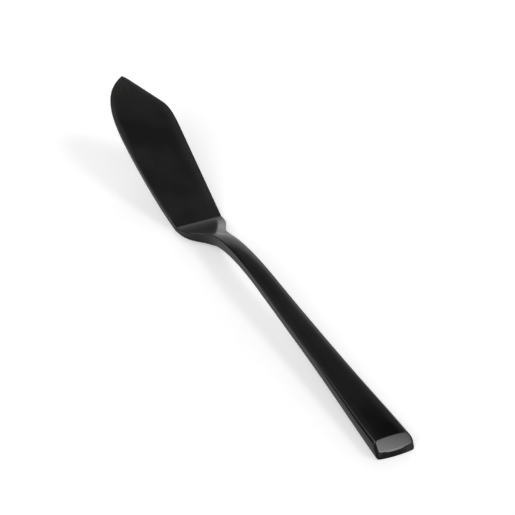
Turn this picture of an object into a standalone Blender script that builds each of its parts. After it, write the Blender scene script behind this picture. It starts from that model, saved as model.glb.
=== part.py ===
"""Butter knife: a flat spreading blade with a ramped heel, on a slim bent handle with a chamfered butt.

The knife lies as it does on a table, edge side to the left: +X runs from the butt to the tip, +Y is the
side of the spreading edge, +Z is up. It rests on the land under the heel and on the rear edge of the butt.
Lengths below are in millimetres, and places along the knife are distances from the butt end.
"""

import math

import bmesh
import bpy
import numpy as np
from mathutils import Vector, geometry

MM = 0.001

# Driving dimensions
LENGTH = 170.0
BLADE_ROOT = 116.5
BLADE_ANGLE = math.radians(19.0)
BLADE_THICKNESS = 1.25
BLADE_HALF_WIDTH = 8.95
NECK_PLACE = 100.0
NECK_HALF_WIDTH = 2.2
BUTT_HALF_WIDTH = 5.2
BUTT_THICKNESS = 4.03
BUTT_BOW = 0.3
BUTT_CORNER = 0.15
BUTT_LEAN = math.tan(math.radians(25.0))
BUTT_REACH = 8.0
BUTT_FACE_HEIGHT = 1.4
CHAMFER_ANGLE = math.radians(43.4)
HANDLE_RISE = 0.0675
RAMP_START = 101.5
RAMP_TOP = 6.29
LAND_START = 113.5

# The brazed joint behind the neck
SEAM = 91.0
FIT_GAP = 0.3
TANG_LENGTH = 16.0
TANG_ROOT = 1.5
TANG_WIDTH = 2.4
TANG_HEIGHT = 0.9
TANG_LEVEL = 6.6
FILLER_LENGTH = 1.7

# Colours
BLACK_COATING = (0.012, 0.012, 0.013)
SILVER_ALLOY = (0.75, 0.72, 0.65)

# Worked out from the dimensions above, and the fineness of the outlines
BLADE_SLOPE = math.tan(BLADE_ANGLE)
ROOT_TOP = BLADE_THICKNESS / math.cos(BLADE_ANGLE)
TIP_HALF_WIDTH = 0.15
CURVE_STEPS = 13
STATION_STEP = 0.35

# Outlines: each stretch is a line (two points) or a Bezier curve (knot, handle, handle, knot)
HANDLE_WIDTH = (
    ((0, BUTT_HALF_WIDTH), (13.8, 5.04), (24.9, 3.88), (48, 3.31)),
    ((48, 3.31), (64.7, 2.9), (82.8, 2.44), (NECK_PLACE, NECK_HALF_WIDTH)),
)
EDGE_SIDE = (
    ((NECK_PLACE, NECK_HALF_WIDTH), (108.2, NECK_HALF_WIDTH), (106.9, 6.0), (114, 7.1)),
    ((114, 7.1), (121, 8.3), (132, BLADE_HALF_WIDTH), (144, BLADE_HALF_WIDTH)),
    ((144, BLADE_HALF_WIDTH), (157.5, BLADE_HALF_WIDTH), (166, 7.9), (LENGTH, TIP_HALF_WIDTH)),
)
SPINE_SIDE = (
    ((NECK_PLACE, NECK_HALF_WIDTH), (108.8, NECK_HALF_WIDTH), (107.8, 5.5), (115, 6.5)),
    ((115, 6.5), (121, 6.9), (140, 8.15), (148, 8.66)),
    ((148, 8.66), (152.8, 8.97), (156, 9.1), (158.6, 7.55)),
    ((158.6, 7.55), (168, 1.91)),
    ((168, 1.91), (169, 1.31), (169.8, 0.8), (LENGTH, TIP_HALF_WIDTH)),
)
UNDERSIDE = (
    ((0, 0), (74, 74 * HANDLE_RISE)),
    ((74, 74 * HANDLE_RISE), (86, 86 * HANDLE_RISE), (96, 4.75), (103, 1.85)),
    ((103, 1.85), (105, 1.02), (109.5, 0.4), (LAND_START, 0)),
    ((LAND_START, 0), (BLADE_ROOT, 0)),
)
RIDGE = (
    ((0, BUTT_THICKNESS), (20, 4.75), (22, 5.14), (60, 7.11)),
    ((60, 7.11), (74.8, 7.88), (88.5, 9.88), (RAMP_START, RAMP_TOP)),
    ((RAMP_START, RAMP_TOP), (106, 4.98), (112, 2.6), (BLADE_ROOT, ROOT_TOP)),
)

# Rounding of the section along the knife
ROUNDING_PLACES = (0, 12, 40, 70, 90, 101, 107, BLADE_ROOT, 120, LENGTH)
SHOULDER_WIDTHS = (1.3, 0.9, 0.4, 0.3, 0.2, 0.2, 0.2, 0.25, 0.55, 0.55)
SHOULDER_RISES = (1.2, 0.9, 0.4, 0.3, 0.2, 0.2, 0.2, 0.22, 0.22, 0.22)
CROWN_DROPS = (0.1, 0.2, 0.32, 0.36, 0.39, 0.33, 0, 0, 0, 0)
CROWN_STARTS = (0.45, 0.4, 0.3, 0.1, 0, 0, 0, 0, 0, 0)
LOWER_ROUNDINGS = (0.45, 0.8, 0.6, 0.5, 0.45, 0.45, 0.4, 0.35, 0.3, 0.3)


def along_x(place):
    """World x of a distance from the butt end: the knife is centred on the origin."""
    return (place - LENGTH / 2) * MM


def traced(stretches):
    """Points along a row of lines and Bezier stretches."""
    points = []
    for stretch in stretches:
        knots = [Vector(knot) for knot in stretch]
        if len(knots) == 4:
            run = geometry.interpolate_bezier(*knots, CURVE_STEPS)
        else:
            run = knots
        points += run if not points else run[1:]
    return np.array(points)


HANDLE_WIDTH_LINE = traced(HANDLE_WIDTH)
EDGE_SIDE_LINE = np.vstack([HANDLE_WIDTH_LINE[:-1], traced(EDGE_SIDE)])
SPINE_SIDE_LINE = np.vstack([HANDLE_WIDTH_LINE[:-1], traced(SPINE_SIDE)])
UNDERSIDE_LINE = traced(UNDERSIDE)
RIDGE_LINE = traced(RIDGE)


def at(line, place):
    return float(np.interp(place, line[:, 0], line[:, 1]))


def underside(place):
    """Height of the underside: the handle's arch, the flat land, then the rising blade."""
    if place <= BLADE_ROOT:
        return at(UNDERSIDE_LINE, place)
    return BLADE_SLOPE * (place - BLADE_ROOT)


def ridge(place):
    """Height of the upper face on the knife's axis."""
    if place <= BLADE_ROOT:
        return at(RIDGE_LINE, place)
    return ROOT_TOP + BLADE_SLOPE * (place - BLADE_ROOT)


def rounding(values, place):
    return float(np.interp(place, ROUNDING_PLACES, values))


def section(place):
    """Ring of points round the knife at one place: the underside from right to left, then the top back.

    The sides stand upright between a rounded lower corner and an elliptic shoulder. The top between the
    shoulders is level in the middle and falls off towards them. Near the butt the ring is set forward
    towards the sides, which bows the end in plan and rounds its corners, and towards the top, which leans
    the end face.
    """
    reach_left = at(EDGE_SIDE_LINE, place)
    reach_right = at(SPINE_SIDE_LINE, place)
    middle = (reach_left - reach_right) / 2
    half = (reach_left + reach_right) / 2
    shoulder = min(rounding(SHOULDER_WIDTHS, place), half / 2)
    rise = rounding(SHOULDER_RISES, place)
    drop = rounding(CROWN_DROPS, place)
    start = rounding(CROWN_STARTS, place)
    corner = min(rounding(LOWER_ROUNDINGS, place), half / 2)
    low = underside(place)
    high = ridge(place)
    quarter = np.radians([0, 35, 65])
    flat = half - shoulder
    shoulder_across = flat + shoulder * np.cos(quarter)
    shoulder_height = high - drop - rise + rise * np.sin(quarter)
    shares = np.linspace(1, -1, 7)
    crown_across = flat * shares
    crown_height = high - drop * (np.maximum(0, np.abs(shares) - start) / (1 - start)) ** 2
    top_across = np.concatenate([shoulder_across, crown_across, -shoulder_across[::-1]])
    top_height = np.concatenate([shoulder_height, crown_height, shoulder_height[::-1]])
    bend = np.radians([0, 45])
    corner_across = half - corner + corner * np.cos(bend)
    corner_height = low + corner - corner * np.sin(bend)
    base_across = np.linspace(corner - half, half - corner, 9)
    base_height = np.full(9, low)
    low_across = np.concatenate([-corner_across, base_across, corner_across[::-1]])
    low_height = np.concatenate([corner_height, base_height, corner_height[::-1]])
    across = np.concatenate([low_across, top_across])
    height = np.concatenate([low_height, top_height])
    share = across / half
    fade = max(0.0, 1 - place / BUTT_REACH)
    forward = fade * (BUTT_BOW * share**2 + BUTT_CORNER * share**8 + BUTT_LEAN * height)
    return np.column_stack([along_x(place + forward), (middle + across) * MM, height * MM])


def new_collection(name):
    collection = bpy.data.collections.new(name)
    bpy.context.scene.collection.children.link(collection)
    return collection


def metal(name, colour, roughness):
    material = bpy.data.materials.new(name)
    material.use_nodes = True
    shader = material.node_tree.nodes["Principled BSDF"]
    shader.inputs["Base Color"].default_value = (*colour, 1.0)
    shader.inputs["Roughness"].default_value = roughness
    shader.inputs["Metallic"].default_value = 1.0
    return material


def loft(name, places, collection):
    """Skin over the sections at the given places, closed by strips at both ends."""
    body = bmesh.new()
    rings = [[body.verts.new(point) for point in section(place)] for place in places]
    count = len(rings[0])
    for near, far in zip(rings, rings[1:]):
        for i in range(count):
            j = (i + 1) % count
            body.faces.new((near[i], near[j], far[j], far[i]))
    for ring in (rings[0], rings[-1]):
        for i in range(count // 2 - 1):
            body.faces.new((ring[i], ring[i + 1], ring[count - 2 - i], ring[count - 1 - i]))
    bmesh.ops.recalc_face_normals(body, faces=body.faces)
    mesh = bpy.data.meshes.new(name)
    body.to_mesh(mesh)
    body.free()
    mesh.shade_smooth()
    mesh.set_sharp_from_angle(angle=math.radians(30))
    piece = bpy.data.objects.new(name, mesh)
    collection.objects.link(piece)
    return piece


def block(name, size, centre, collection, turn=0.0):
    """A box of the given size in millimetres, turned about the knife's cross axis."""
    bpy.ops.mesh.primitive_cube_add(size=1.0)
    piece = bpy.context.active_object
    piece.name = name
    piece.data.name = name
    piece.scale = [side * MM for side in size]
    bpy.ops.object.transform_apply(location=False, rotation=False, scale=True)
    piece.location = (along_x(centre[0]), centre[1] * MM, centre[2] * MM)
    piece.rotation_euler.y = turn
    for owner in list(piece.users_collection):
        owner.objects.unlink(piece)
    collection.objects.link(piece)
    return piece


def as_cutter(piece):
    piece.hide_render = True
    piece.display_type = "WIRE"
    return piece


def combine(piece, other, operation):
    modifier = piece.modifiers.new(f"{operation.title()} {other.name}", "BOOLEAN")
    modifier.operation = operation
    modifier.object = other


def stations(start, end, lines, creases):
    """Places for the sections: the ends, the creases, and outline points at least a step from the others."""
    places = [start, end, *creases]
    for place in np.concatenate([line[:, 0] for line in lines]):
        clear = min(abs(place - other) for other in places) > STATION_STEP
        if clear and start < place < end:
            places.append(float(place))
    return sorted(places)


def make_blade(parts, cutters, finish):
    """Blade, ramped heel and neck in one forging, with the stub tang that enters the handle."""
    lines = (EDGE_SIDE_LINE, SPINE_SIDE_LINE, UNDERSIDE_LINE, RIDGE_LINE)
    creases = (RAMP_START, LAND_START, BLADE_ROOT)
    blade = loft("blade", stations(SEAM + FIT_GAP / 2, LENGTH, lines, creases), parts)
    length = TANG_LENGTH + TANG_ROOT
    centre = SEAM + TANG_ROOT - length / 2
    tang = block("tang", (length, TANG_WIDTH, TANG_HEIGHT), (centre, 0, TANG_LEVEL), cutters)
    combine(blade, as_cutter(tang), "UNION")
    blade.data.materials.append(finish)


def make_handle(parts, cutters, finish):
    """Bent bar that tapers from the butt to the neck, chamfered across the butt, with a blind socket."""
    lines = (HANDLE_WIDTH_LINE, UNDERSIDE_LINE, RIDGE_LINE)
    handle = loft("handle", stations(0, SEAM - FIT_GAP / 2, lines, ()), parts)
    depth = 3 * BUTT_THICKNESS
    away = Vector((-math.sin(CHAMFER_ANGLE), 0, math.cos(CHAMFER_ANGLE))) * depth / 2
    chamfer_size = (2 * depth, 3 * BUTT_HALF_WIDTH, depth)
    chamfer_centre = (BUTT_LEAN * BUTT_FACE_HEIGHT + away.x, 0, BUTT_FACE_HEIGHT + away.z)
    chamfer = block("butt_chamfer", chamfer_size, chamfer_centre, cutters, turn=-CHAMFER_ANGLE)
    combine(handle, as_cutter(chamfer), "DIFFERENCE")
    clear = 2 * FIT_GAP
    mouth = SEAM + 1
    blind_end = SEAM - TANG_LENGTH - FILLER_LENGTH - clear
    socket_size = (mouth - blind_end, TANG_WIDTH + clear, TANG_HEIGHT + clear)
    socket = block("socket", socket_size, ((mouth + blind_end) / 2, 0, TANG_LEVEL), cutters)
    combine(handle, as_cutter(socket), "DIFFERENCE")
    handle.data.materials.append(finish)


def make_braze_filler(parts, finish):
    """Slug of brazing alloy that fills the blind end of the socket behind the tang."""
    centre = SEAM - TANG_LENGTH - FIT_GAP - FILLER_LENGTH / 2
    size = (FILLER_LENGTH, TANG_WIDTH, TANG_HEIGHT)
    filler = block("braze_filler", size, (centre, 0, TANG_LEVEL), parts)
    filler.data.materials.append(finish)


def main():
    for old in list(bpy.data.objects):
        bpy.data.objects.remove(old)
    parts = new_collection("butter_knife")
    cutters = new_collection("cutters")
    make_blade(parts, cutters, metal("black_coated_blade", BLACK_COATING, 0.28))
    make_handle(parts, cutters, metal("black_coated_handle", BLACK_COATING, 0.28))
    make_braze_filler(parts, metal("silver_braze", SILVER_ALLOY, 0.4))


main()
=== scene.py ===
"""Looks of the butter knife: fine surfaces, black coating, pale floor, soft light and the camera.

Places along the knife are distances from the butt end in millimetres, as are widths and heights, until a
surface is put into its mesh in metres. +X runs from the butt to the tip, +Y to the spreading edge, +Z is up.
The stage is in metres, and its turns are counted about +Z from +X.
"""

import math

import bpy
import numpy as np
from bpy.props import FloatProperty, FloatVectorProperty, PointerProperty
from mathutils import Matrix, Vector


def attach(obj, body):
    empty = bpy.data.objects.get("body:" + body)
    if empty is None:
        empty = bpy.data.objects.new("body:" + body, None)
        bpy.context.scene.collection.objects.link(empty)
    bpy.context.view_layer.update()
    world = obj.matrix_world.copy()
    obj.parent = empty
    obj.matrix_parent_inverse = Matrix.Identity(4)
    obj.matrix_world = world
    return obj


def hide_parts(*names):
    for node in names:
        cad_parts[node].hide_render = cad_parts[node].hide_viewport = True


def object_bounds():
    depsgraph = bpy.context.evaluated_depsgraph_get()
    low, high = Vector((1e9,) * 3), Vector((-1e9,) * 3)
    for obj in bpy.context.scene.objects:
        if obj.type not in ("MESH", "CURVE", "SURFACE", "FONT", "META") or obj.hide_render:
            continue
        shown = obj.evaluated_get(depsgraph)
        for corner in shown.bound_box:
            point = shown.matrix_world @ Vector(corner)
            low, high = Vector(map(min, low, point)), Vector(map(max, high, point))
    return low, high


bl_info = {
    "name": "Butter Knife",
    "version": (1, 0, 0),
    "blender": (4, 5, 0),
    "location": "View3D > Sidebar > Butter Knife",
    "description": "Dresses the packed butter knife in its fine surfaces and black coating",
    "category": "Add Mesh",
}

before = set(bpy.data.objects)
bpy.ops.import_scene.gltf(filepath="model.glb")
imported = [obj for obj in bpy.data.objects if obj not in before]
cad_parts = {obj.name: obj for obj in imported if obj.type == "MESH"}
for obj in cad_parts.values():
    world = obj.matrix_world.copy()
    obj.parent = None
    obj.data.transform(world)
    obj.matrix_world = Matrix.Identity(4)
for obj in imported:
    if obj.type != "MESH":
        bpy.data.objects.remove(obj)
CAD_LOW, CAD_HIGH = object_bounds()

MM = 0.001
LENGTH = (CAD_HIGH.x - CAD_LOW.x) / MM
BUTT_X = CAD_LOW.x

# Blade, ramp and neck
BLADE_ROOT = 116.5
BLADE_ANGLE = math.radians(19.0)
BLADE_SLOPE = math.tan(BLADE_ANGLE)
BLADE_THICKNESS = 1.25
BLADE_HALF_WIDTH = 8.95
TIP_HALF_WIDTH = 0.15
ROOT_TOP = BLADE_THICKNESS / math.cos(BLADE_ANGLE)
FOOT_SLOPE = 0.1
RAMP_START = 101.5
RAMP_TOP = 5.84
RAMP_FOOT = 113.0
LAND_START = 113.5
NECK_PLACE = 100.0
NECK_HALF_WIDTH = 2.2

# Handle and butt
HANDLE_RISE = 0.0675
BEND_START = 74.0
BUTT_HALF_WIDTH = 5.2
BUTT_SPINE_EXTRA = 0.3
BUTT_THICKNESS = 4.03
BUTT_FACE_HEIGHT = 1.55
BUTT_LEAN = math.tan(math.radians(25.0))
BUTT_BOW = 0.5
BUTT_CORNER = 0.15
BUTT_BOW_REACH = 8.0
CHAMFER_SLOPE = math.tan(math.radians(40.2))
CHAMFER_CROWN = 0.06
CHAMFER_SWELL = 0.008
CHAMFER_MIDDLE = 1.5
CHAMFER_LIMIT = 5.0
CHAMFER_END_ROLL = 0.4

# Seam, tang and socket
SEAM = 91.0
TANG_LENGTH = 16.0
TANG_HALF_WIDTH = 1.2
TANG_HALF_HEIGHT = 0.45
TANG_LEVEL = 6.6
FILLER_LENGTH = 1.7
FIT_GAP = 0.3

# Outlines: each stretch is a line (two points) or a Bezier curve (knot, handle, handle, knot)
EDGE_SIDE = (
    ((0, BUTT_HALF_WIDTH), (13.8, 5.04), (24.9, 3.88), (48, 3.31)),
    ((48, 3.31), (64.7, 2.9), (82.8, 2.44), (NECK_PLACE, NECK_HALF_WIDTH)),
    ((NECK_PLACE, NECK_HALF_WIDTH), (108.2, NECK_HALF_WIDTH), (106.9, 6.0), (114, 7.1)),
    ((114, 7.1), (121, 8.3), (132, BLADE_HALF_WIDTH), (144, BLADE_HALF_WIDTH)),
    ((144, BLADE_HALF_WIDTH), (157.5, BLADE_HALF_WIDTH), (166, 7.9), (LENGTH, TIP_HALF_WIDTH)),
)
SPINE_SIDE = (
    ((0, BUTT_HALF_WIDTH + BUTT_SPINE_EXTRA), (13.8, 5.4), (24.9, 4.03), (48, 3.35)),
    ((48, 3.35), (64.7, 2.94), (82.8, 2.46), (NECK_PLACE, NECK_HALF_WIDTH)),
    ((NECK_PLACE, NECK_HALF_WIDTH), (108.8, NECK_HALF_WIDTH), (107.8, 5.5), (115, 6.5)),
    ((115, 6.5), (121, 6.9), (140, 8.15), (148, 8.66)),
    ((148, 8.66), (152.8, 8.97), (156, 9.1), (158.6, 7.55)),
    ((158.6, 7.55), (168, 1.91)),
    ((168, 1.91), (169, 1.31), (169.8, 0.8), (LENGTH, TIP_HALF_WIDTH)),
)
UNDERSIDE = (
    ((0, 0), (BEND_START, BEND_START * HANDLE_RISE)),
    ((BEND_START, BEND_START * HANDLE_RISE), (86, 86 * HANDLE_RISE), (96, 4.75), (103, 1.85)),
    ((103, 1.85), (105, 1.02), (109.5, 0.4), (LAND_START, 0)),
    ((LAND_START, 0), (LENGTH, 0)),
)
RIDGE = (
    ((0, BUTT_THICKNESS), (20, 4.75), (22, 5.14), (60, 7.11)),
    ((60, 7.11), (74.8, 7.88), (88.5, 10.05), (RAMP_START, RAMP_TOP)),
    (
        (RAMP_START, RAMP_TOP),
        (106.5, 4.19),
        (RAMP_FOOT, ROOT_TOP + FOOT_SLOPE * (BLADE_ROOT - RAMP_FOOT)),
        (BLADE_ROOT, ROOT_TOP),
    ),
    ((BLADE_ROOT, ROOT_TOP), (LENGTH, ROOT_TOP - FOOT_SLOPE * (LENGTH - BLADE_ROOT))),
)

# Rounding of the section along the knife: place, width and rise of the shoulders, drop of the crown, share
# of the half width where that drop starts, and radius of the lower corners
ROUNDINGS = (
    (0, 1.3, 2.0, 0.1, 0.45, 0.7),
    (12, 1.0, 1.3, 0.28, 0.4, 0.8),
    (40, 0.65, 0.5, 0.38, 0.3, 0.6),
    (70, 0.6, 0.45, 0.38, 0.1, 0.5),
    (90, 0.45, 0.35, 0.39, 0, 0.45),
    (101, 0.35, 0.3, 0.2, 0, 0.45),
    (107, 0.25, 0.22, 0.08, 0, 0.4),
    (BLADE_ROOT, 0.25, 0.22, 0, 0, 0.35),
    (120, 0.4, 0.22, 0.05, 0.96, 0.3),
    (141, 0.4, 0.22, 0.05, 0.955, 0.3),
    (150, 0.4, 0.22, 0.27, 0.82, 0.3),
    (LENGTH, 0.4, 0.22, 0.34, 0.74, 0.3),
)
ROUNDED_AT, SHOULDER_WIDTHS, SHOULDER_RISES, CROWN_DROPS, CROWN_STARTS, LOWER_CORNERS = zip(*ROUNDINGS)

# Limits of that rounding: slope of the crown, and shares of the half width, of the height and of the side
STEEPEST_CROWN = 0.42
WIDEST_SHOULDER = 0.5
TALLEST_SHOULDER = 0.55
LARGEST_CORNER = 0.6

# Fineness of the surfaces: points of a stretch, of a rounded corner and of the middle of a section, and the
# angle from which an edge is shaded sharp
CURVE_POINTS = 400
CORNER_POINTS = 9
FLAT_POINTS = 17
SHARP_ANGLE = math.radians(35.0)

# Shares of the half width at which the middle points stand, from the spreading edge's side to the spine's
SHARES = np.sin(np.linspace(math.pi / 2, -math.pi / 2, FLAT_POINTS))

# Spacing of the sections: where each step between them starts, the first of them at the piece's own start.
# They stand closest within a reach of the blade's root and of its tip
FINE_STEP = 0.04
FINE_REACH = 2.0
BLADE_STEPS = (
    (SEAM, 0.25),
    (NECK_PLACE, 0.12),
    (BLADE_ROOT - FINE_REACH, FINE_STEP),
    (BLADE_ROOT + FINE_REACH, 0.2),
    (126, 0.5),
    (150, 0.2),
    (LENGTH - FINE_REACH, FINE_STEP),
)
HANDLE_STEPS = ((0, 0.06), (4.5, 0.3), (14, 0.6), (70, 0.3))

# Wear of the shoulders, and wear with a painted sheen that lightens the spine's rim and the tip, as
# multiples of the change to the worn colour. The rim starts at a share of the half width and is full from a
# place on, and the tip's wear and painted sheen start at a place
SHOULDER_WEAR = 0.4
RIM_WEAR_AND_SHEEN = 6.0
RIM_START = 0.66
RIM_FULL = 126.0
TIP_WEAR_AND_SHEEN = 6.0
TIP_WEAR_START = 152.0

# Coating and braze: grain in cells to the metre, span of the noise that counts, and depth in metres
COATING_IOR = 1.5
MARKS_GRAIN = (60, 1400, 1400)
MARKS_SPAN = (0.35, 0.75)
MARKS_DEPTH = 0.000005
MARKS_STRENGTH = 0.15
MOTTLE_GRAIN = 90.0
MOTTLE_SPAN = (0.36, 0.66)
WAVE_GRAIN = 55.0
WAVE_DEPTH = 0.00002
BRAZE_GRAIN = 2500.0
BRAZE_ROUGHNESS = (0.3, 0.55)

# Brightness of the room: its dim level, and that of its lit side by the sine of the height above the horizon
DIM_ROOM = 0.28
ROOM_LEVELS = ((0.0, 1.0), (0.34, 0.95), (0.5, 0.4), (0.62, 0.02), (0.75, 0.1), (0.9, 0.24), (1.0, 0.3))

# Turn of the middle of the lit side, and the cosines of the angle from it between which the room goes dim
LIT_SIDE = math.radians(285.0)
LIT_EDGE = (0.15, 0.45)

# Soft patches of the room that the gloss alone shows: turn, height above the table and radius in degrees
GLOSS_PATCHES = {
    "butt_panel": (200, 39, 20),
    "left_panel": (62, 45, 30),
    "top_panel": (24, 76, 20),
    "right_panel": (297, 47, 16),
    "far_gap": (30, 18, 38),
}

# Soft distant lights: turn, height above the table and width in degrees
SUNS = {
    "key_light": (240, 49, 20),
    "left_light": (120, 40, 36),
    "far_light": (330, 20, 36),
}

# Backdrop card: its place and reach, its slanted top, and its brightness by the share of the graded height
CARD_DISTANCE = 0.15
CARD_REACH_RIGHT = 0.12
CARD_REACH_LEFT = 0.067
CARD_TOP_RIGHT = 0.13
CARD_TOP_LEFT = 0.298
CARD_GRADED_HEIGHT = 0.194
CARD_LEVELS = (
    (0.0, 1.2),
    (0.035, 1.02),
    (0.07, 0.84),
    (0.11, 0.74),
    (0.19, 0.68),
    (0.28, 0.66),
    (0.36, 0.57),
    (0.44, 0.4),
    (0.515, 0.27),
    (0.7, 0.25),
    (0.8, 0.21),
    (1.0, 0.2),
)

# Floor and camera
FLOOR_SIZE = 60.0
CAMERA_TARGET = Vector((0.00996, -0.00739, 0.0))
SENSOR_WIDTH = 36.0
NEAREST_VIEW = 0.01


class KnifeShape(bpy.types.PropertyGroup):
    """Radii of the knife's edges and hollows, and its seam"""

    root_fillet: FloatProperty(
        name="Root Fillet",
        description="Radius of the hollow where the ramp meets the blade",
        default=2.0 * MM,
        unit="LENGTH",
        precision=5,
    )
    heel_bend: FloatProperty(
        name="Heel Bend",
        description="Radius of the bend under the blade's root",
        default=1.0 * MM,
        unit="LENGTH",
        precision=5,
    )
    chamfer_softening: FloatProperty(
        name="Chamfer Softening",
        description="Radius of the polished edge where the butt's chamfer meets the top",
        default=0.2 * MM,
        unit="LENGTH",
        precision=5,
    )
    chamfer_edge: FloatProperty(
        name="Chamfer Edge",
        description="Radius of the edge where the butt's chamfer meets the side of the spreading edge",
        default=1.0 * MM,
        unit="LENGTH",
        precision=5,
    )
    chamfer_spine_edge: FloatProperty(
        name="Chamfer Spine Edge",
        description="Radius of the edge where the butt's chamfer meets the side of the spine",
        default=0.4 * MM,
        unit="LENGTH",
        precision=5,
    )
    end_softening: FloatProperty(
        name="End Softening",
        description="Radius of the polished edges round the butt's end face",
        default=0.3 * MM,
        unit="LENGTH",
        precision=5,
    )
    seam_gap: FloatProperty(
        name="Seam Gap",
        description="Hairline between blade and handle at the brazed neck",
        default=0.02 * MM,
        unit="LENGTH",
        precision=6,
    )


class KnifeFinish(bpy.types.PropertyGroup):
    """Colours and polish of the knife's surfaces"""

    coating: FloatVectorProperty(
        name="Coating",
        description="Colour of the black coating",
        default=(0.0008, 0.0008, 0.0009),
        subtype="COLOR",
        size=3,
        min=0,
        max=1,
    )
    # Worn colour of the mottle and the shoulders, which the rim and the tip push far past itself as a
    # painted sheen
    worn_and_sheen_coating: FloatVectorProperty(
        name="Worn Coating",
        description="Colour of the coating where handling has thinned it",
        default=(0.0085, 0.0083, 0.008),
        subtype="COLOR",
        size=3,
        min=0,
        max=1,
    )
    blade_mottle: FloatProperty(
        name="Blade Mottle",
        description="Share of the worn colour in the mottled patches of the blade",
        default=1.0,
        min=0,
        max=1,
        subtype="FACTOR",
    )
    handle_mottle: FloatProperty(
        name="Handle Mottle",
        description="Share of the worn colour in the mottled patches of the handle",
        default=0.4,
        min=0,
        max=1,
        subtype="FACTOR",
    )
    gloss_roughness: FloatProperty(
        name="Gloss Roughness",
        description="Roughness of the polished coating",
        default=0.08,
        min=0,
        max=1,
        subtype="FACTOR",
    )
    worn_roughness: FloatProperty(
        name="Worn Roughness",
        description="Roughness of the coating along fine handling marks",
        default=0.13,
        min=0,
        max=1,
        subtype="FACTOR",
    )
    braze: FloatVectorProperty(
        name="Braze",
        description="Colour of the silver brazing alloy",
        default=(0.75, 0.72, 0.65),
        subtype="COLOR",
        size=3,
        min=0,
        max=1,
    )


class KnifeStage(bpy.types.PropertyGroup):
    """Floor, lights and camera"""

    floor_colour: FloatVectorProperty(
        name="Floor",
        description="Colour of the pale floor",
        default=(0.86, 0.86, 0.86),
        subtype="COLOR",
        size=3,
        min=0,
        max=1,
    )
    floor_lift: FloatProperty(
        name="Floor Lift",
        description="Light added to the floor as the camera sees it",
        default=0.44,
        min=0,
    )
    gloss_lift: FloatProperty(
        name="Gloss Lift",
        description="Light added to the floor as the gloss of the knife shows it",
        default=0.05,
        min=0,
    )
    butt_panel: FloatProperty(
        name="Butt Panel",
        description="Brightness that the lit panel behind the camera's right side adds to the gloss",
        default=6.0,
    )
    left_panel: FloatProperty(
        name="Left Panel",
        description="Brightness that the lit panel on the left adds to the gloss",
        default=3.2,
    )
    top_panel: FloatProperty(
        name="Top Panel",
        description="Brightness that the lit panel overhead adds to the gloss",
        default=0.35,
    )
    right_panel: FloatProperty(
        name="Right Panel",
        description="Brightness that the lit panel on the far right adds to the gloss",
        default=0.7,
    )
    far_gap: FloatProperty(
        name="Far Gap",
        description="Brightness that the dark gap between the card and the left panel adds to the gloss",
        default=-0.27,
    )
    key_light: FloatProperty(
        name="Key Light",
        description="Irradiance of the floor by the soft light from the camera's right side",
        default=0.43,
        min=0,
    )
    left_light: FloatProperty(
        name="Left Light",
        description="Irradiance of the floor by the soft light from the camera's left side",
        default=0.55,
        min=0,
    )
    far_light: FloatProperty(
        name="Far Light",
        description="Irradiance of the floor by the soft light beyond the tip",
        default=0.28,
        min=0,
    )
    camera_turn: FloatProperty(
        name="Camera Turn",
        description="Turn of the camera about the knife from the tip's side",
        default=math.radians(154.3036),
        subtype="ANGLE",
    )
    camera_elevation: FloatProperty(
        name="Camera Elevation",
        description="Angle of the camera above the table",
        default=math.radians(33.8),
        subtype="ANGLE",
    )
    camera_distance: FloatProperty(
        name="Camera Distance",
        description="Distance from the camera to the point that it looks at",
        default=0.8,
        unit="LENGTH",
    )
    camera_lens: FloatProperty(
        name="Camera Lens",
        description="Focal length in millimetres",
        default=204.49,
        min=1,
        unit="CAMERA",
    )


def outline(stretches):
    """Points along a chain of stretches: the four knots of each weighted by the cubic Bernstein polynomials.

    A line is the Bezier curve whose handles stand at its thirds.
    """
    share = np.linspace(0, 1, CURVE_POINTS)[:, None]
    weights = ((1 - share) ** 3, 3 * share * (1 - share) ** 2, 3 * share**2 * (1 - share), share**3)
    runs = []
    for stretch in stretches:
        knots = np.array(stretch, float)
        if len(knots) == 2:
            knots = knots[0] + (knots[1] - knots[0]) * np.linspace(0, 1, 4)[:, None]
        runs.append(sum(weight * knot for weight, knot in zip(weights, knots)))
    return np.vstack(runs)


EDGE_SIDE_LINE = outline(EDGE_SIDE)
SPINE_SIDE_LINE = outline(SPINE_SIDE)
UNDERSIDE_LINE = outline(UNDERSIDE)
RIDGE_LINE = outline(RIDGE)


def along(line, places):
    """The outline's value at each place, straight between its points."""
    return np.interp(places, line[:, 0], line[:, 1])


def rounding(places, values):
    """A value of the section's rounding at each place, straight between the listed ones."""
    return np.interp(places, ROUNDED_AT, values)


def crease_reach(radius, slope_change):
    """Difference of two heights, in millimetres, within which their crease is rounded to a radius in metres.

    It is half the radius times the square of the change of slope.
    """
    return radius / MM * slope_change**2 / 2


def rounded_max(first, second, reach):
    """The higher of two heights, with a parabola for the crease where they differ by less than the reach.

    There the square of what is left of the reach, over four times the reach, is added.
    """
    return np.maximum(first, second) + np.maximum(0, reach - np.abs(first - second)) ** 2 / (4 * reach)


def spread(start, end, steps):
    """Places from the start to the end, evenly spaced from each listed place to the next, near its step."""
    marks = [start, *(place for place, _ in steps[1:]), end]
    runs = []
    for (_, step), first, last in zip(steps, marks, marks[1:]):
        count = max(1, round((last - first) / step))
        runs.append(np.linspace(first, last, count, endpoint=False))
    return np.concatenate([*runs, [end]])


def profile(shape, places):
    """Heights of the ridge and the underside at each place.

    From the ramp on they are the higher of the outline and the rising blade, with the crease rounded.
    """
    rise = BLADE_SLOPE * (places - BLADE_ROOT)
    ridge = along(RIDGE_LINE, places)
    low = along(UNDERSIDE_LINE, places)
    root_reach = crease_reach(shape.root_fillet, FOOT_SLOPE + BLADE_SLOPE)
    heel_reach = crease_reach(shape.heel_bend, BLADE_SLOPE)
    on_blade = places > RAMP_START
    ridge = np.where(on_blade, rounded_max(ridge, ROOT_TOP + rise, root_reach), ridge)
    low = np.where(on_blade, rounded_max(low, rise, heel_reach), low)
    return ridge, low


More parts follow.
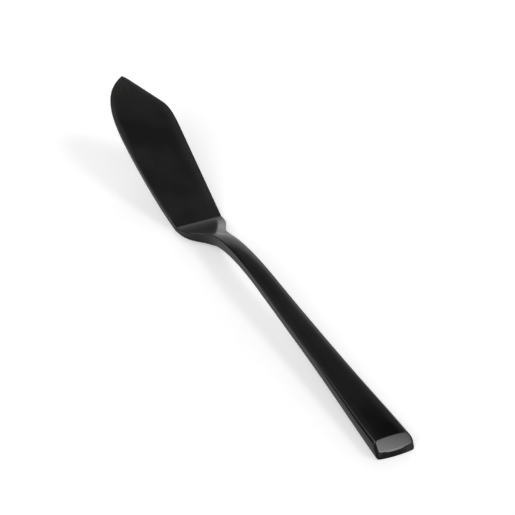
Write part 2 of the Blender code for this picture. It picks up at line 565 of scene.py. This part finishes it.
def top_line(places, half, ridge, low):
    """Tops of the sections, from the spreading edge's side to the spine's: reach across and height.

    A top is level in the middle and falls off as the square of the share beyond it, and an elliptic shoulder
    starts at the slope where that ends. Along the ramp the fall-off on the spine's side fades out.
    """
    shoulder = np.minimum(rounding(places, SHOULDER_WIDTHS), WIDEST_SHOULDER * half)
    rise = np.minimum(rounding(places, SHOULDER_RISES), TALLEST_SHOULDER * (ridge - low))
    flat = half - shoulder
    start = rounding(places, CROWN_STARTS)
    falling = flat * (1 - start)
    drop = np.minimum(rounding(places, CROWN_DROPS), STEEPEST_CROWN / 2 * falling)
    spine_drop = drop * np.interp(places, (RAMP_START, BLADE_ROOT), (1, 0))

    def shoulder_below(fall):
        tilt = np.arctan(2 * fall / falling * shoulder / rise)
        turn = tilt + (math.pi / 2 - tilt) * np.linspace(0, 1, CORNER_POINTS)[1:]
        across = flat + shoulder * (np.sin(turn) - np.sin(tilt)) / (1 - np.sin(tilt))
        return across, ridge - fall - rise * (np.cos(tilt) - np.cos(turn))

    beyond = np.maximum(0, (np.abs(SHARES) - start) / (1 - start))
    crown = ridge - np.where(SHARES > 0, drop, spine_drop) * beyond**2
    edge_across, edge_height = shoulder_below(drop)
    spine_across, spine_height = shoulder_below(spine_drop)
    across = np.hstack([edge_across[:, ::-1], flat * SHARES, -spine_across])
    height = np.hstack([edge_height[:, ::-1], crown, spine_height])
    return across, height


def base_line(places, half, low, side_top):
    """Undersides of the sections, from the spine's side to the spreading edge's: reach across and height.

    An underside is flat between two quarter circles.
    """
    corner = np.minimum(rounding(places, LOWER_CORNERS), LARGEST_CORNER * (side_top - low))
    quarter = np.linspace(0, math.pi / 2, CORNER_POINTS)[:-1]
    corner_across = half - corner + corner * np.cos(quarter)
    corner_height = low + corner - corner * np.sin(quarter)
    flat_across = -(half - corner) * SHARES
    flat_height = low + np.zeros_like(flat_across)
    across = np.hstack([-corner_across, flat_across, corner_across[:, ::-1]])
    height = np.hstack([corner_height, flat_height, corner_height[:, ::-1]])
    return across, height


def near_butt(places):
    """Share that falls from one at the butt end to none at the reach of its bow."""
    return np.clip(1 - places / BUTT_BOW_REACH, 0, 1)


def bowed(places, share):
    """Places of points at a share of the half width, set forward near the butt.

    The square of the share bows the end, and its eighth power rounds the corners.
    """
    return places + near_butt(places) * (BUTT_BOW * share**2 + BUTT_CORNER * share**8)


def chamfer(shape, places, inset, across, half, whole_half):
    """Heights of the butt's chamfer over points across the sections.

    It is a plane that rises from the top of the end face. It rolls down a quarter circle at either side, and
    falls off as the square of the share of the half width and of the distance from its middle. The inset
    lowers it where the edge of the end face is rounded.
    """
    edge = np.where(across > 0, shape.chamfer_edge, shape.chamfer_spine_edge) / MM
    past = np.clip(np.abs(across) - half + edge, 0, edge)
    rolled = edge - np.sqrt(edge**2 - past**2)
    crown = CHAMFER_CROWN * (across / half) ** 2
    swell = CHAMFER_SWELL * (np.minimum(places, CHAMFER_LIMIT) - CHAMFER_MIDDLE) ** 2
    plane = BUTT_FACE_HEIGHT + CHAMFER_SLOPE * bowed(places, across / whole_half)
    return plane - CHAMFER_END_ROLL * inset - rolled - crown - swell


def section_rings(shape, places, inset):
    """Rings of points round the knife, one for each place, as an array of places by points by axes.

    A ring is the underside, the upright sides and the lower of the top and the butt's chamfer, with the
    crease rounded. The inset draws it in from the outline, which rounds the edges of the end face. Near the
    butt the points are set forward by their share of the half width, which bows the face, and by their
    height, which leans it.
    """
    places = places[:, None]
    inset = inset[:, None]
    ridge, low = profile(shape, places)
    low = low + inset
    edge_reach = along(EDGE_SIDE_LINE, places)
    spine_reach = along(SPINE_SIDE_LINE, places)
    middle = (edge_reach - spine_reach) / 2
    whole_half = (edge_reach + spine_reach) / 2
    half = whole_half - inset

    top_across, top_height = top_line(places, half, ridge, low)
    cut_height = chamfer(shape, places, inset, top_across, half, whole_half)
    cut_reach = crease_reach(shape.chamfer_softening, CHAMFER_SLOPE)
    top_height = -rounded_max(-top_height, -cut_height, cut_reach)
    low_across, low_height = base_line(places, half, low, top_height[:, :1])
    across = np.hstack([low_across, top_across])
    height = np.hstack([low_height, top_height])

    lean = near_butt(places) * BUTT_LEAN * np.minimum(height, BUTT_FACE_HEIGHT)
    stand = BUTT_X + (bowed(places, across / whole_half) + lean) * MM
    rings = np.stack([stand, (middle + across) * MM, height * MM], axis=-1)
    return np.clip(rings, CAD_LOW, CAD_HIGH)


def box_rings(places, half_width, half_height, count):
    """Rectangular rings of the tang or its socket, with the same number of points as a ring of the section.

    Half of the points run along the lower side, and the other half back along the upper one.
    """
    side = np.linspace(-half_width, half_width, count // 2)
    across = np.concatenate([side, -side])
    height = TANG_LEVEL + half_height * np.repeat([-1, 1], count // 2)
    rings = np.empty((len(places), count, 3))
    rings[..., 0] = BUTT_X + np.array(places)[:, None] * MM
    rings[..., 1] = across * MM
    rings[..., 2] = height * MM
    return rings


def edge_wear_and_sheen(places):
    """Wear, with painted sheen, at each point of the rings, as an array of places by points.

    It is half a sine of wear over either shoulder. On the blade a painted sheen, worn as well, also rises
    over the rim along the spine as the share of the way across it, and over the top towards the tip as the
    square of the share of the way there.
    """
    places = places[:, None]
    shoulder = SHOULDER_WEAR * np.sin(np.linspace(0, math.pi, CORNER_POINTS + 1)[1:-1])
    rim_share = np.clip((-SHARES - RIM_START) / (1 - RIM_START), 0, 1)
    # Painted sheen as well as wear: the rim along the spine is lightened far past the worn colour
    rim = rim_share * np.interp(places, (BLADE_ROOT, RIM_FULL), (0, RIM_WEAR_AND_SHEEN))
    # Painted sheen as well as wear: the top towards the tip is lightened far past the worn colour
    tip = TIP_WEAR_AND_SHEEN * np.clip((places - TIP_WEAR_START) / (LENGTH - TIP_WEAR_START), 0, 1) ** 2
    below = np.zeros((len(places), FLAT_POINTS + 2 * len(shoulder)))
    return np.hstack([below, shoulder + tip, rim + tip, shoulder + tip])


def skin(name, rings, wear):
    """Closed mesh over the rings: quads between neighbouring rings, and strips across the first and last.

    The wear and painted sheen of each point is kept as an attribute for the coating.
    """
    ring_count, point_count = rings.shape[:2]
    index = np.arange(ring_count * point_count).reshape(ring_count, point_count)
    following = np.roll(index, -1, axis=1)
    sides = np.stack([index[:-1], following[:-1], following[1:], index[1:]], axis=-1).reshape(-1, 4)
    half = point_count // 2

    def cap(ring):
        lower = ring[:half]
        upper = ring[half:][::-1]
        return np.stack([lower[:-1], upper[:-1], upper[1:], lower[1:]], axis=-1)

    faces = np.vstack([sides[:, ::-1], cap(index[0])[:, ::-1], cap(index[-1])])
    mesh = bpy.data.meshes.new(name)
    mesh.from_pydata(rings.reshape(-1, 3), [], faces)
    mesh.attributes.new("edge_wear_and_sheen", "FLOAT", "POINT").data.foreach_set("value", wear.ravel())
    mesh.validate()
    mesh.shade_smooth()
    mesh.set_sharp_from_angle(angle=SHARP_ANGLE)
    piece = bpy.data.objects.new(name, mesh)
    bpy.context.scene.collection.objects.link(piece)
    return piece


def set_inputs(node, inputs):
    """Set a node's sockets, by name or by number, to constant values."""
    for socket, value in inputs.items():
        node.inputs[socket].default_value = value


def add_node(tree, kind, inputs=None, **settings):
    """A new node with its settings and then its sockets set."""
    node = tree.nodes.new(kind)
    for name, value in settings.items():
        setattr(node, name, value)
    set_inputs(node, inputs or {})
    return node


def link_nodes(tree, *links):
    """Link nodes: each link gives a node, its output, the next node and the input there."""
    for source, output, target, socket in links:
        tree.links.new(source.outputs[output], target.inputs[socket])


def new_material(name, inputs=None):
    """A material with its node tree and its shader, whose sockets are set."""
    material = bpy.data.materials.new(name)
    material.use_nodes = True
    tree = material.node_tree
    shader = tree.nodes["Principled BSDF"]
    set_inputs(shader, inputs or {})
    return material, tree, shader


def black_coating(name, finish, mottling):
    """Polished black coating on steel.

    Its colour goes from the fresh to the worn one by mottled patches, plus the edges' wear and painted
    sheen times the handling marks. Those marks run along the knife and roughen the polish a little, and slow
    waves bend what it reflects.
    """
    material, tree, shader = new_material(name, {"IOR": COATING_IOR})
    place = add_node(tree, "ShaderNodeTexCoord")
    marks_map = add_node(tree, "ShaderNodeMapping", {"Scale": MARKS_GRAIN})
    marks = add_node(tree, "ShaderNodeTexNoise", {"Scale": 1.0, "Detail": 4.0, "Roughness": 0.6})
    mottle = add_node(tree, "ShaderNodeTexNoise", {"Scale": MOTTLE_GRAIN, "Detail": 3.0})
    waves = add_node(tree, "ShaderNodeTexNoise", {"Scale": WAVE_GRAIN, "Detail": 1.0})
    link_nodes(
        tree,
        (place, "Object", marks_map, "Vector"),
        (marks_map, "Vector", marks, "Vector"),
        (place, "Object", mottle, "Vector"),
        (place, "Object", waves, "Vector"),
    )

    patches = add_node(
        tree,
        "ShaderNodeMapRange",
        {"From Min": MOTTLE_SPAN[0], "From Max": MOTTLE_SPAN[1], "To Max": mottling},
        interpolation_type="SMOOTHSTEP",
    )
    # Edge wear, with a painted sheen on the spine's rim and the tip, times the handling marks lightens the
    # coating
    edges = add_node(tree, "ShaderNodeAttribute", attribute_name="edge_wear_and_sheen")
    wear_sheen_factor = add_node(tree, "ShaderNodeMath", operation="MULTIPLY_ADD")
    colour = add_node(
        tree,
        "ShaderNodeMix",
        {"A": (*finish.coating, 1), "B": (*finish.worn_and_sheen_coating, 1)},
        data_type="RGBA",
        clamp_factor=False,
    )
    link_nodes(
        tree,
        (mottle, "Fac", patches, "Value"),
        (edges, "Fac", wear_sheen_factor, 0),
        (marks, "Fac", wear_sheen_factor, 1),
        (patches, "Result", wear_sheen_factor, 2),
        (wear_sheen_factor, "Value", colour, "Factor"),
        (colour, "Result", shader, "Base Color"),
    )

    gloss = add_node(
        tree,
        "ShaderNodeMapRange",
        {
            "From Min": MARKS_SPAN[0],
            "From Max": MARKS_SPAN[1],
            "To Min": finish.gloss_roughness,
            "To Max": finish.worn_roughness,
        },
    )
    swell = add_node(tree, "ShaderNodeBump", {"Strength": 1.0, "Distance": WAVE_DEPTH})
    grain = add_node(tree, "ShaderNodeBump", {"Strength": MARKS_STRENGTH, "Distance": MARKS_DEPTH})
    link_nodes(
        tree,
        (marks, "Fac", gloss, "Value"),
        (gloss, "Result", shader, "Roughness"),
        (waves, "Fac", swell, "Height"),
        (marks, "Fac", grain, "Height"),
        (swell, "Normal", grain, "Normal"),
        (grain, "Normal", shader, "Normal"),
    )
    return material


def silver_braze(name, finish):
    """Brazing alloy as it cools: a bright metal with a dull, uneven skin."""
    material, tree, shader = new_material(name, {"Base Color": (*finish.braze, 1), "Metallic": 1.0})
    place = add_node(tree, "ShaderNodeTexCoord")
    unevenness = add_node(tree, "ShaderNodeTexNoise", {"Scale": BRAZE_GRAIN, "Detail": 3.0})
    dull = add_node(
        tree, "ShaderNodeMapRange", {"To Min": BRAZE_ROUGHNESS[0], "To Max": BRAZE_ROUGHNESS[1]}
    )
    link_nodes(
        tree,
        (place, "Object", unevenness, "Vector"),
        (unevenness, "Fac", dull, "Value"),
        (dull, "Result", shader, "Roughness"),
    )
    return material


def floor_paper(name, stage):
    """Pale matt paper, lifted to white for the camera, less the shadows, and a little for the gloss."""
    material, tree, shader = new_material(
        name,
        {
            "Base Color": (*stage.floor_colour, 1),
            "Roughness": 1.0,
            "Specular IOR Level": 0.0,
            "Emission Color": (1, 1, 1, 1),
        },
    )
    path = add_node(tree, "ShaderNodeLightPath")
    shown = add_node(tree, "ShaderNodeMath", {1: stage.gloss_lift}, operation="MULTIPLY")
    lift = add_node(tree, "ShaderNodeMath", {1: stage.floor_lift}, operation="MULTIPLY_ADD")
    link_nodes(
        tree,
        (path, "Is Glossy Ray", shown, 0),
        (path, "Is Camera Ray", lift, 0),
        (shown, "Value", lift, 2),
        (lift, "Value", shader, "Emission Strength"),
    )
    return material


def dress(piece, node, material):
    """Give a piece its material and its slot, and let it ride on the root in place of its node."""
    piece.data.materials.append(material)
    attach(piece, "root")
    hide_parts(node)


class KNIFE_OT_blade(bpy.types.Operator):
    """Make the blade with its ramped heel, neck and tang"""

    bl_idname = "knife.blade"
    bl_label = "Blade"

    def execute(self, context):
        shape = context.scene.knife_shape
        finish = context.scene.knife_finish
        start = SEAM + shape.seam_gap / MM / 2
        places = spread(start, LENGTH, BLADE_STEPS)
        outer = section_rings(shape, places, np.zeros_like(places))
        tang = box_rings((SEAM - TANG_LENGTH, start), TANG_HALF_WIDTH, TANG_HALF_HEIGHT, outer.shape[1])
        wear = np.concatenate([np.zeros(tang.shape[:2]), edge_wear_and_sheen(places)])
        blade = skin("knife_blade", np.concatenate([tang, outer]), wear)
        dress(blade, "blade", black_coating("black coating on the blade", finish, finish.blade_mottle))
        return {"FINISHED"}


class KNIFE_OT_handle(bpy.types.Operator):
    """Make the bent handle with its chamfered butt and the socket for the tang"""

    bl_idname = "knife.handle"
    bl_label = "Handle"

    def execute(self, context):
        shape = context.scene.knife_shape
        finish = context.scene.knife_finish
        end = SEAM - shape.seam_gap / MM / 2
        soft = shape.end_softening / MM
        turn = np.linspace(0, math.pi / 2, CORNER_POINTS)[:-1]
        body = spread(soft, end, HANDLE_STEPS)
        places = np.concatenate([soft * (1 - np.cos(turn)), body])
        inset = np.concatenate([soft * (1 - np.sin(turn)), np.zeros_like(body)])
        outer = section_rings(shape, places, inset)
        blind_end = SEAM - TANG_LENGTH - FILLER_LENGTH - 2 * FIT_GAP
        socket = box_rings(
            (end, blind_end), TANG_HALF_WIDTH + FIT_GAP, TANG_HALF_HEIGHT + FIT_GAP, outer.shape[1]
        )
        wear = np.concatenate([edge_wear_and_sheen(places), np.zeros(socket.shape[:2])])
        handle = skin("knife_handle", np.concatenate([outer, socket]), wear)
        dress(handle, "handle", black_coating("black coating on the handle", finish, finish.handle_mottle))
        return {"FINISHED"}


class KNIFE_OT_braze_filler(bpy.types.Operator):
    """Give the brazing alloy in the socket its finish"""

    bl_idname = "knife.braze_filler"
    bl_label = "Braze Filler"

    def execute(self, context):
        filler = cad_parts["braze_filler"]
        filler.data.materials.clear()
        filler.data.materials.append(silver_braze("silver brazing alloy", context.scene.knife_finish))
        return {"FINISHED"}


def direction_of(turn, height):
    """Unit vector to a turn about the knife and a height above the table."""
    flat = math.cos(height)
    return Vector((flat * math.cos(turn), flat * math.sin(turn), math.sin(height)))


def add_sun(name, angles, floor_light):
    """A distant soft light that gives the floor an irradiance, and that the gloss doesn't show as a disc."""
    turn, height, width = map(math.radians, angles)
    direction = direction_of(turn, height)
    lamp = bpy.data.lights.new(name, "SUN")
    lamp.energy = floor_light / direction.z
    lamp.angle = width
    light = bpy.data.objects.new(name, lamp)
    light.rotation_euler = direction.to_track_quat("Z", "Y").to_euler()
    light.visible_glossy = False
    bpy.context.scene.collection.objects.link(light)


def add_levels(tree, levels):
    """A colour ramp through grey levels, each of them a share of the way and the brightness there."""
    ramp = add_node(tree, "ShaderNodeValToRGB")
    stops = ramp.color_ramp.elements
    for share, _ in levels[1:-1]:
        stops.new(share)
    for stop, (share, level) in zip(stops, levels):
        stop.position = share
        stop.color = (level, level, level, 1)
    return ramp


def card_glow(name):
    """Glow of the backdrop card, graded by the height above the table."""
    material, tree, shader = new_material(name)
    tree.nodes.remove(shader)
    place = add_node(tree, "ShaderNodeTexCoord")
    axes = add_node(tree, "ShaderNodeSeparateXYZ")
    share = add_node(tree, "ShaderNodeMath", {1: CARD_GRADED_HEIGHT}, operation="DIVIDE")
    ramp = add_levels(tree, CARD_LEVELS)
    glow = add_node(tree, "ShaderNodeEmission")
    link_nodes(
        tree,
        (place, "Object", axes, "Vector"),
        (axes, "Z", share, 0),
        (share, "Value", ramp, "Fac"),
        (ramp, "Color", glow, "Color"),
        (glow, "Emission", tree.nodes["Material Output"], "Surface"),
    )
    return material


def backdrop_card(away):
    """An upright card beyond the tip that only the gloss of the knife sees, white below and grey above.

    Its lower corners stand a distance away and a reach to either side. Its top slants between two heights.
    """
    side = Vector((-away.y, away.x, 0))
    up = Vector((0, 0, 1))
    middle = away * CARD_DISTANCE
    right = middle - side * CARD_REACH_RIGHT
    left = middle + side * CARD_REACH_LEFT
    corners = [right, left, left + up * CARD_TOP_LEFT, right + up * CARD_TOP_RIGHT]
    mesh = bpy.data.meshes.new("backdrop_card")
    mesh.from_pydata(corners, [], [(0, 1, 2, 3)])
    mesh.materials.append(card_glow("backdrop card"))
    card = bpy.data.objects.new("backdrop_card", mesh)
    bpy.context.scene.collection.objects.link(card)
    card.visible_camera = False
    card.visible_diffuse = False
    card.visible_shadow = False


def studio_world(stage):
    """A dim room with one lit side, whose brightness goes by the height above the horizon.

    Soft patches add light to what the gloss shows, or take it away. The camera sees white, as the floor is.
    """
    world = bpy.data.worlds.new("studio")
    bpy.context.scene.world = world
    world.use_nodes = True
    tree = world.node_tree
    place = add_node(tree, "ShaderNodeTexCoord")
    axes = add_node(tree, "ShaderNodeSeparateXYZ")
    ramp = add_levels(tree, ROOM_LEVELS)
    toward = add_node(
        tree, "ShaderNodeVectorMath", {1: direction_of(LIT_SIDE, 0)}, operation="DOT_PRODUCT"
    )
    side = add_node(
        tree,
        "ShaderNodeMapRange",
        {"From Min": LIT_EDGE[0], "From Max": LIT_EDGE[1]},
        interpolation_type="SMOOTHSTEP",
    )
    room = add_node(tree, "ShaderNodeMix", {"A": (DIM_ROOM, DIM_ROOM, DIM_ROOM, 1)}, data_type="RGBA")
    path = add_node(tree, "ShaderNodeLightPath")
    seen = add_node(tree, "ShaderNodeMix", {"B": (1, 1, 1, 1)}, data_type="RGBA")
    link_nodes(
        tree,
        (place, "Generated", axes, "Vector"),
        (place, "Generated", toward, 0),
        (axes, "Z", ramp, "Fac"),
        (toward, "Value", side, "Value"),
        (side, "Result", room, "Factor"),
        (ramp, "Color", room, "B"),
        (path, "Is Camera Ray", seen, "Factor"),
    )
    light = room
    for name, angles in GLOSS_PATCHES.items():
        turn, height, radius = map(math.radians, angles)
        near = add_node(
            tree, "ShaderNodeVectorMath", {1: direction_of(turn, height)}, operation="DOT_PRODUCT"
        )
        patch = add_node(
            tree,
            "ShaderNodeMapRange",
            {"From Min": math.cos(radius), "To Max": getattr(stage, name)},
            interpolation_type="SMOOTHSTEP",
        )
        added = add_node(tree, "ShaderNodeMix", data_type="RGBA", blend_type="ADD")
        link_nodes(
            tree,
            (place, "Generated", near, 0),
            (near, "Value", patch, "Value"),
            (path, "Is Glossy Ray", added, "Factor"),
            (light, "Result", added, "A"),
            (patch, "Result", added, "B"),
        )
        light = added
    link_nodes(tree, (light, "Result", seen, "A"), (seen, "Result", tree.nodes["Background"], "Color"))


def add_camera(stage):
    """A camera at its turn, elevation and distance from the point that it looks at."""
    back = direction_of(stage.camera_turn, stage.camera_elevation)
    view = bpy.data.cameras.new("camera")
    view.sensor_width = SENSOR_WIDTH
    view.lens = stage.camera_lens
    view.clip_start = NEAREST_VIEW
    camera = bpy.data.objects.new("camera", view)
    camera.location = CAMERA_TARGET + back * stage.camera_distance
    camera.rotation_euler = back.to_track_quat("Z", "Y").to_euler()
    bpy.context.scene.collection.objects.link(camera)
    bpy.context.scene.camera = camera


class KNIFE_OT_stage(bpy.types.Operator):
    """Lay the floor, set the lights and place the camera"""

    bl_idname = "knife.stage"
    bl_label = "Stage"

    def execute(self, context):
        scene = context.scene
        stage = scene.knife_stage
        scene.view_settings.view_transform = "Standard"
        bpy.ops.mesh.primitive_plane_add(size=FLOOR_SIZE)
        floor = context.active_object
        floor.name = "floor"
        floor.data.materials.append(floor_paper("floor paper", stage))
        studio_world(stage)
        for name, angles in SUNS.items():
            add_sun(name, angles, getattr(stage, name))
        backdrop_card(direction_of(stage.camera_turn + math.pi, 0))
        add_camera(stage)
        return {"FINISHED"}


class KNIFE_PT_sidebar(bpy.types.Panel):
    """Sizes, finishes and build steps of the butter knife"""

    bl_label = "Butter Knife"
    bl_space_type = "VIEW_3D"
    bl_region_type = "UI"
    bl_category = "Butter Knife"

    def draw(self, context):
        for group, kind in GROUPS.items():
            column = self.layout.column(align=True)
            for name in kind.__annotations__:
                column.prop(getattr(context.scene, group), name)
        for operator in OPERATORS:
            self.layout.operator(operator.bl_idname)


OPERATORS = (KNIFE_OT_stage, KNIFE_OT_blade, KNIFE_OT_handle, KNIFE_OT_braze_filler)
GROUPS = {"knife_shape": KnifeShape, "knife_finish": KnifeFinish, "knife_stage": KnifeStage}
CLASSES = (*GROUPS.values(), *OPERATORS, KNIFE_PT_sidebar)


def register():
    for cls in CLASSES:
        bpy.utils.register_class(cls)
    for name, group in GROUPS.items():
        setattr(bpy.types.Scene, name, PointerProperty(type=group))


def unregister():
    for name in GROUPS:
        delattr(bpy.types.Scene, name)
    for cls in reversed(CLASSES):
        bpy.utils.unregister_class(cls)


def main():
    register()
    bpy.ops.knife.stage()
    bpy.ops.knife.blade()
    bpy.ops.knife.handle()
    bpy.ops.knife.braze_filler()


if __name__ == "__main__":
    main()
